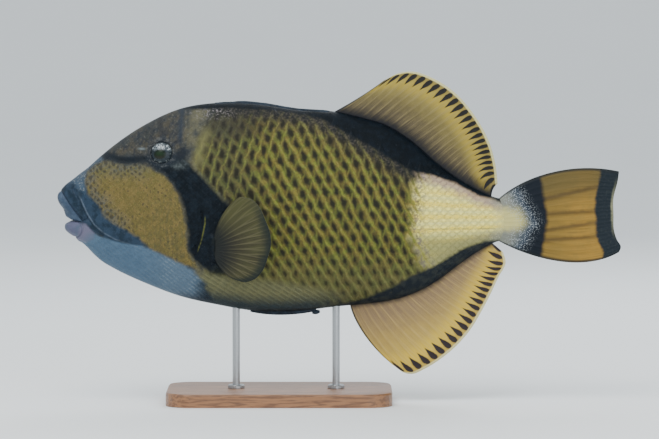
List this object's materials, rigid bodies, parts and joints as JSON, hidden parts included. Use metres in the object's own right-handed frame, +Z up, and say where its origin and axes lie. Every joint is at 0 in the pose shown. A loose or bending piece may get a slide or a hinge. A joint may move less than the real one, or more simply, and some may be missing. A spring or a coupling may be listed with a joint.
{
  "type": "titan triggerfish",
  "caption": "Life-size titan triggerfish, deep-bodied with a rounded snout, raised soft dorsal and anal fins and a fan-shaped tail, held level by rods on a flat base.",
  "frame": {"origin": "middle of the model's overall box in plan, at the underside of the stand's base", "axes": "+X aft along the fish towards its tail, +Y towards its right flank, +Z up; the snout points to -X and the left flank to -Y"},
  "size_m": [0.5997, 0.14, 0.3521],
  "materials": {
    "head_skin": "ochre cheek, dark eye band, satin wet skin",
    "flank_skin": "olive-yellow scale net over dark scale centres, satin",
    "stalk_skin": "cream-yellow with rows of small tubercles, satin",
    "upper_lip_skin": "slate blue, smooth satin",
    "lower_lip_skin": "lilac grey, smooth satin",
    "eye": "speckled iris, glossy",
    "dark_fin": "blue-black, satin",
    "dorsal_fin_skin": "olive tan to gold with dark marginal dashes",
    "anal_fin_skin": "tan to gold with dark marginal dashes",
    "caudal_fin_skin": "orange gold between two black bars",
    "pectoral_fin_skin": "olive brown with a dark margin",
    "stand_base": "painted pale grey, matt",
    "stand_rod": "fine brushed"
  },
  "bodies": {
    "root": {"head": "head_skin", "trunk": "flank_skin", "tail_stalk": "stalk_skin", "upper_lip": "upper_lip_skin", "lower_lip": "lower_lip_skin", "eye_left": "eye", "eye_right": "eye", "spiny_dorsal_fin": "dark_fin", "ventral_flap": "dark_fin", "soft_dorsal_fin": "dorsal_fin_skin", "anal_fin": "anal_fin_skin", "caudal_fin": "caudal_fin_skin", "pectoral_fin_left": "pectoral_fin_skin", "pectoral_fin_right": "pectoral_fin_skin", "stand_base": "stand_base", "stand_rod_front": "stand_rod", "stand_rod_rear": "stand_rod"}
  },
  "joints": []
}
